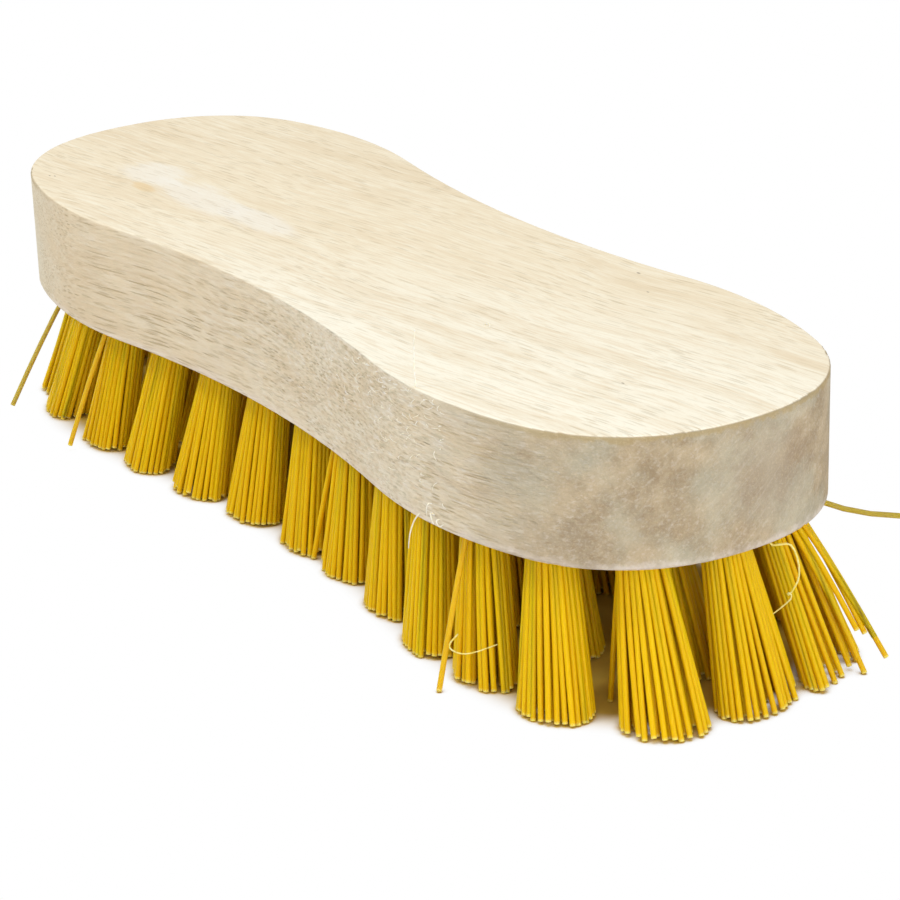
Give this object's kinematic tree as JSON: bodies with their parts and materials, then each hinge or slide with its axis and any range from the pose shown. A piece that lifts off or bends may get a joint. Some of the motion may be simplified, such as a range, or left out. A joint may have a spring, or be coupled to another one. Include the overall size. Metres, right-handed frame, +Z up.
{
  "type": "scrub brush",
  "caption": "Hand scrub brush: a waisted flat wooden block with leaning tufts of stiff yellow plastic bristle, stapled into blind holes.",
  "frame": {"origin": "on the plane of the cut bristle ends, under the middle of the block", "axes": "+X along the block, +Y across it, +Z up from the bristle ends to the block's flat top"},
  "size_m": [0.1898, 0.0646, 0.044],
  "materials": {
    "block_wood": "bare, machined and lightly sanded pale hardwood",
    "bristle": "yellow plastic filament, slightly translucent",
    "staple_wire": "drawn steel wire"
  },
  "bodies": {
    "root": {"block": "block_wood", "inner_tuft_01": "bristle", "inner_tuft_02": "bristle", "inner_tuft_03": "bristle", "inner_tuft_04": "bristle", "inner_tuft_05": "bristle", "inner_tuft_06": "bristle", "inner_tuft_07": "bristle", "inner_tuft_08": "bristle", "inner_tuft_09": "bristle", "inner_tuft_10": "bristle", "inner_tuft_11": "bristle", "inner_tuft_12": "bristle", "inner_tuft_13": "bristle", "inner_tuft_14": "bristle", "inner_tuft_15": "bristle", "inner_tuft_16": "bristle", "inner_tuft_17": "bristle", "rim_tuft_01": "bristle", "rim_tuft_02": "bristle", "rim_tuft_03": "bristle", "rim_tuft_04": "bristle", "rim_tuft_05": "bristle", "rim_tuft_06": "bristle", "rim_tuft_07": "bristle", "rim_tuft_08": "bristle", "rim_tuft_09": "bristle", "rim_tuft_10": "bristle", "rim_tuft_11": "bristle", "rim_tuft_12": "bristle", "rim_tuft_13": "bristle", "rim_tuft_14": "bristle", "rim_tuft_15": "bristle", "rim_tuft_16": "bristle", "rim_tuft_17": "bristle", "rim_tuft_18": "bristle", "rim_tuft_19": "bristle", "rim_tuft_20": "bristle", "rim_tuft_21": "bristle", "rim_tuft_22": "bristle", "rim_tuft_23": "bristle", "rim_tuft_24": "bristle", "rim_tuft_25": "bristle", "rim_tuft_26": "bristle", "rim_tuft_27": "bristle", "rim_tuft_28": "bristle", "staples": "staple_wire"}
  },
  "joints": []
}
